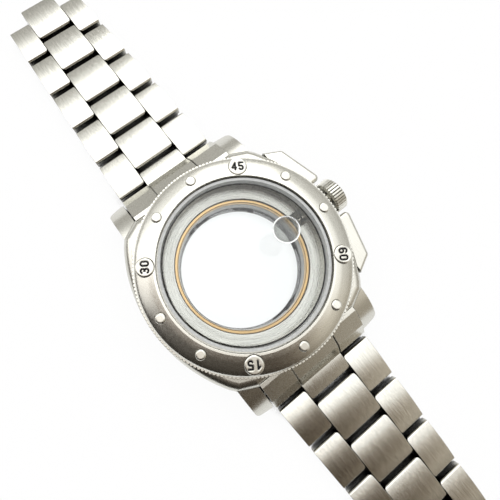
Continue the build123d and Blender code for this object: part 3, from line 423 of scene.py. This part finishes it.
class FinishMiddleCase(bpy.types.Operator):
    """Brush the middle case, its lugs and crown guards"""
    bl_idname = "watchcase.finish_middle_case"
    bl_label = "Middle case"

    def execute(self, context):
        steel = context.scene.steel_finish
        # Painted shade darkens its upright faces and its recesses
        material = brushed_metal(
            "middle_case_brushed", steel.steel_color, steel.grain_width, steel.grain_length,
            steel.satin_roughness, depth=4 * MICRON, edge=steel.edge_radius, recess=0.6 * MM, wall=0.7,
            soil=(0.05, 0.4))
        dress(material, "mid_case")
        return {"FINISHED"}


class FinishBezel(bpy.types.Operator):
    """Give the bezel its round satin grain"""
    bl_idname = "watchcase.finish_bezel"
    bl_label = "Bezel"

    def execute(self, context):
        steel = context.scene.steel_finish
        color = [c * steel.bezel_lightness for c in steel.steel_color]
        material = turned_metal(
            "bezel_satin", color, steel.grain_width, sweep=26.0, roughness=steel.satin_roughness,
            depth=1.2 * MICRON, shade=0.05, edge=steel.edge_radius)
        dress(material, "bezel")
        return {"FINISHED"}


class FinishStuds(bpy.types.Operator):
    """Polish the studs and fill their numbers with black"""
    bl_idname = "watchcase.finish_studs"
    bl_label = "Studs"

    def execute(self, context):
        steel = context.scene.steel_finish
        material = brushed_metal(
            "stud_polish", steel.steel_color, width=0.6 * steel.grain_width, length=0.2 * steel.grain_length,
            roughness=steel.polish_roughness, depth=1.5 * MICRON, edge=3 * steel.edge_radius,
            recess=0.4 * MM)
        dress(material, "bezel_numbered_studs", "bezel_plain_studs")
        black = dull("numeral_black", (0.008, 0.008, 0.009), roughness=0.6, grit=9000.0, sheen=0.15)
        dress(black, "bezel_numerals")
        return {"FINISHED"}


class FinishInside(bpy.types.Operator):
    """Turn the ledge and gild the seat ring inside the case"""
    bl_idname = "watchcase.finish_inside"
    bl_label = "Inside rings"

    def execute(self, context):
        inside = context.scene.inside_finish
        # Painted shade darkens the ledge's upright faces
        ledge = turned_metal(
            "ledge_turned", inside.ledge_color, inside.turning_pitch, sweep=3.0, roughness=0.28,
            depth=30 * MICRON, shade=0.3, recess=0, wall=0.4)
        dress(ledge, "movement_ring")
        gilt = turned_metal(
            "gilt", inside.gilt_color, width=0.6 * inside.turning_pitch, sweep=5.0, roughness=0.3,
            depth=4 * MICRON, recess=0)
        dress(gilt, "gold_seat_ring")
        return {"FINISHED"}


class FinishGlass(bpy.types.Operator):
    """Clear the crystal, its magnifier and the back window"""
    bl_idname = "watchcase.finish_glass"
    bl_label = "Glass"

    def execute(self, context):
        glass = context.scene.glass_finish
        dress(thin_glass("crystal_clear", glass.crystal_tint), "crystal")
        dress(thin_glass("back_window_clear", glass.back_tint), "back_glass")
        low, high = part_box("magnifier_lens")
        material = magnifier_glass("magnifier_clear", (low + high) / 2, (high.x - low.x) / 2)
        dress(material, "magnifier_lens")
        return {"FINISHED"}


class FinishCrown(bpy.types.Operator):
    """Finish the fluted crown, its post and tube"""
    bl_idname = "watchcase.finish_crown"
    bl_label = "Crown"

    def execute(self, context):
        steel = context.scene.steel_finish
        low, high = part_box("crown")
        centre = (0, 0, (low.z + high.z) / 2)
        outer = turned_metal(
            "crown_satin", steel.steel_color, steel.grain_width, sweep=12.0, roughness=0.26, axis="X",
            centre=centre, depth=1.5 * MICRON, edge=0.5 * steel.edge_radius, recess=0.3 * MM)
        dress(outer, "crown")
        inner = turned_metal(
            "crown_inner_steel", steel.steel_color, steel.grain_width, sweep=8.0, roughness=0.24, axis="X",
            centre=centre, depth=3 * MICRON)
        dress(inner, "crown_post", "crown_tube")
        return {"FINISHED"}


class FinishBack(bpy.types.Operator):
    """Satin the case back ring"""
    bl_idname = "watchcase.finish_back"
    bl_label = "Case back"

    def execute(self, context):
        steel = context.scene.steel_finish
        material = turned_metal(
            "back_ring_satin", steel.steel_color, width=1.4 * steel.grain_width, sweep=14.0, roughness=0.27,
            depth=3 * MICRON, edge=steel.edge_radius)
        dress(material, "case_back")
        return {"FINISHED"}


class FinishBracelet(bpy.types.Operator):
    """Brush the end links and the bracelet's rows lengthwise"""
    bl_idname = "watchcase.finish_bracelet"
    bl_label = "Bracelet"

    def execute(self, context):
        steel = context.scene.steel_finish
        for name, end, lightness in (
            ("row_sides_brushed", "_sides", 1.0),
            ("row_centre_brushed", "_centre", 0.96),
        ):
            color = [c * lightness for c in steel.steel_color]
            # Painted shade blackens the gaps between the links
            material = brushed_metal(
                name, color, steel.grain_width, steel.grain_length, steel.link_roughness,
                depth=8 * MICRON, shade=0.16, edge=steel.edge_radius, recess=2.2 * MM, soil=(0.3, 0.75))
            dress(material, *nodes_like(end))
        material = brushed_metal(
            "end_link_brushed", steel.steel_color, steel.grain_width, steel.grain_length,
            steel.satin_roughness, depth=3 * MICRON, edge=steel.edge_radius, recess=0.6 * MM)
        dress(material, "end_link_upper", "end_link_lower")
        return {"FINISHED"}


class FinishClasp(bpy.types.Operator):
    """Brush the clasp and its blades"""
    bl_idname = "watchcase.finish_clasp"
    bl_label = "Clasp"

    def execute(self, context):
        steel = context.scene.steel_finish
        outer = brushed_metal(
            "clasp_brushed", steel.steel_color, steel.grain_width, length=1.5 * steel.grain_length,
            roughness=steel.satin_roughness, depth=4 * MICRON, edge=steel.edge_radius)
        dress(outer, "clasp_cover", "clasp_end_piece")
        blades = brushed_metal(
            "blade_brushed", steel.steel_color, width=1.3 * steel.grain_width, length=steel.grain_length,
            roughness=0.34, depth=5 * MICRON, edge=steel.edge_radius)
        dress(blades, "clasp_blade_long", "clasp_blade_short")
        return {"FINISHED"}


class FinishSmallParts(bpy.types.Operator):
    """Finish pins, bars, springs and gaskets"""
    bl_idname = "watchcase.finish_small_parts"
    bl_label = "Small parts"

    def execute(self, context):
        steel = context.scene.steel_finish
        # Pins and bars lie across the bracelet, so their lines are long across it and narrow along it
        pins = brushed_metal(
            "pin_steel", steel.steel_color, width=steel.grain_length, length=steel.grain_width,
            roughness=0.24, depth=2 * MICRON)
        dress(pins, "spring_bars", *nodes_like("_pins", "_pin", "_spring_bar"))
        springs = turned_metal(
            "spring_steel", steel.steel_color, steel.grain_width, sweep=20.0, roughness=0.3,
            depth=2 * MICRON)
        dress(springs, "bezel_retaining_wire", "bezel_click_spring")
        rubber = dull("gasket_black", (0.02, 0.02, 0.021), roughness=0.55, grit=6000.0)
        dress(rubber, "back_glass_gasket", "bezel_gasket", "case_back_seal", "crown_gasket")
        dress(dull("gasket_pale", (0.62, 0.63, 0.62), roughness=0.35, grit=3000.0), "crystal_gasket")
        return {"FINISHED"}


class SetStage(bpy.types.Operator):
    """Set the pale table, the soft lights and the camera"""
    bl_idname = "watchcase.set_stage"
    bl_label = "Stage"

    def execute(self, context):
        settings = context.scene.studio_stage
        self.table(settings)
        self.lamps(settings)
        self.surroundings(context)
        self.camera(context, settings)
        context.scene.view_settings.view_transform = "Standard"
        return {"FINISHED"}

    def table(self, settings):
        """A matt table with the object's shadow and a painted shadow close under pieces, white to camera and
        metal.

        The camera sees through it to the white room where nothing stands close, and from below, so that a
        piece that swings below its top stays in view.
        """
        bpy.ops.mesh.primitive_plane_add(size=settings.floor_size)
        top = bpy.context.object
        top.name = "pale_table"
        tree = Tree("table_pale")
        grain = tree.noise(tree.place(), TABLE_GRIT, detail=3.0)
        # Painted shadow: the table's colour goes dark where a piece stands within CONTACT_REACH of it
        bare = tree.spread(tree.openness(CONTACT_REACH), 0.0, 1.0, start=0.25, end=0.5)
        tone = tree.blend(
            grain, toned(settings.floor_color, TABLE_GRIT_TONE), toned(settings.floor_color, 1.0))
        tone = tree.blend(bare, CONTACT_SHADOW_COLOR, tone)
        matt = tree.add("ShaderNodeBsdfDiffuse", Color=tone).outputs[0]
        glow = tree.add("ShaderNodeEmission", Color=(*WHITE, 1), Strength=1.0).outputs[0]
        through = tree.add("ShaderNodeBsdfTransparent", Color=(*WHITE, 1)).outputs[0]
        path = tree.nodes.new("ShaderNodeLightPath").outputs
        seen = tree.math("MAXIMUM", path["Is Camera Ray"], path["Is Glossy Ray"])
        seen = tree.math("MAXIMUM", seen, path["Is Transmission Ray"])
        bare = tree.math("MAXIMUM", bare, path["Transparent Depth"])
        white = tree.mix(path["Is Camera Ray"], glow, through)
        share = tree.math("MULTIPLY", tree.math("MINIMUM", bare, BARE_SHARE), seen)
        shown = tree.mix(share, matt, white)
        below = tree.nodes.new("ShaderNodeNewGeometry").outputs["Backfacing"]
        top.data.materials.append(tree.finish(tree.mix(below, shown, through)))

    def lamps(self, settings):
        """A large soft key light and a weaker fill light across from it, both turned to the case."""
        for name, place, size, share in (
            ("soft_key", (0.35, 0.42, 0.6), 0.5, 1.0),
            ("soft_fill", (-0.45, 0.35, 0.5), 0.4, 0.4),
        ):
            data = bpy.data.lights.new(name, "AREA")
            data.energy = settings.key_power * share
            data.size = size
            lamp = bpy.data.objects.new(name, data)
            lamp.location = place
            lamp.rotation_euler = (-Vector(place)).to_track_quat("-Z", "Y").to_euler()
            bpy.context.scene.collection.objects.link(lamp)

    def surroundings(self, context):
        """A soft room for the metal to reflect, white to the camera and even to matt surfaces.

        It is brightest overhead, with a window high beyond 11 o'clock and a pane below it. It is dim beyond
        8 o'clock and warmer low down beyond 6 o'clock, and a shade hangs high over 6 o'clock.
        """
        tree = Tree("soft_room", "worlds", "ShaderNodeOutputWorld")
        context.scene.world = tree.owner
        direction = tree.nodes.new("ShaderNodeTexCoord").outputs["Generated"]
        height = tree.add("ShaderNodeSeparateXYZ", Vector=direction).outputs["Z"]
        light = tree.blend(
            1.0, tree.ramp(height, LIGHT_BY_HEIGHT), self.part(tree, direction, *PANE), "LIGHTEN")
        for place, stops in (DIM_SIDE, HIGH_SHADE, LOW_SIDE, WINDOW):
            light = tree.blend(1.0, light, self.part(tree, direction, place, stops), "MULTIPLY")
        mirrored = tree.add("ShaderNodeBackground", Color=light, Strength=MIRRORED_STRENGTH)
        plain = tree.add("ShaderNodeBackground", Color=(*WHITE, 1), Strength=PLAIN_STRENGTH)
        white = tree.add("ShaderNodeBackground", Color=(*WHITE, 1), Strength=1.0)
        path = tree.nodes.new("ShaderNodeLightPath").outputs
        room = tree.mix(path["Is Diffuse Ray"], mirrored.outputs[0], plain.outputs[0])
        tree.finish(tree.mix(path["Is Camera Ray"], room, white.outputs[0]))

    def part(self, tree, direction, place, stops):
        """The light of one part of the room, by how near a direction is to its place."""
        turn, tilt = (math.radians(angle) for angle in place)
        axis = (math.cos(tilt) * math.cos(turn), math.cos(tilt) * math.sin(turn), math.sin(tilt))
        return tree.ramp(tree.vector("DOT_PRODUCT", direction, axis), stops)

    def camera(self, context, settings):
        """The camera as it stood for the photograph."""
        data = bpy.data.cameras.new("photo_camera")
        data.sensor_width = SENSOR_WIDTH
        data.lens = settings.lens
        data.shift_x, data.shift_y = CAMERA_SHIFT
        data.clip_start, data.clip_end = CAMERA_RANGE
        camera = bpy.data.objects.new("photo_camera", data)
        turn = Euler([math.radians(angle) for angle in CAMERA_TURN])
        camera.matrix_world = Matrix.LocRotScale(Vector(CAMERA_PLACE), turn, None)
        context.scene.collection.objects.link(camera)
        context.scene.camera = camera


class WatchCasePanel(bpy.types.Panel):
    """Shows the settings and the finishing steps"""
    bl_idname = "VIEW3D_PT_watch_case"
    bl_label = "Watch case"
    bl_space_type = "VIEW_3D"
    bl_region_type = "UI"
    bl_category = "Watch case"

    def draw(self, context):
        layout = self.layout
        for name, group in GROUPS:
            box = layout.box()
            for setting in group.__annotations__:
                box.prop(getattr(context.scene, name), setting)
        for step in STEPS:
            layout.operator(step.bl_idname)


STEPS = (
    FinishMiddleCase, FinishBezel, FinishStuds, FinishInside, FinishGlass, FinishCrown, FinishBack,
    FinishBracelet, FinishClasp, FinishSmallParts, SetStage,
)
GROUPS = (
    ("steel_finish", SteelFinish), ("inside_finish", InsideFinish), ("glass_finish", GlassFinish),
    ("studio_stage", StudioStage),
)


def register():
    for name, group in GROUPS:
        bpy.utils.register_class(group)
        setattr(bpy.types.Scene, name, PointerProperty(type=group))
    for step in STEPS:
        bpy.utils.register_class(step)
    bpy.utils.register_class(WatchCasePanel)


def unregister():
    bpy.utils.unregister_class(WatchCasePanel)
    for step in reversed(STEPS):
        bpy.utils.unregister_class(step)
    for name, group in reversed(GROUPS):
        delattr(bpy.types.Scene, name)
        bpy.utils.unregister_class(group)


def main():
    register()
    bpy.ops.object.select_all(action="DESELECT")
    for step in STEPS:
        family, name = step.bl_idname.split(".")
        getattr(getattr(bpy.ops, family), name)()


if __name__ == "__main__":
    main()
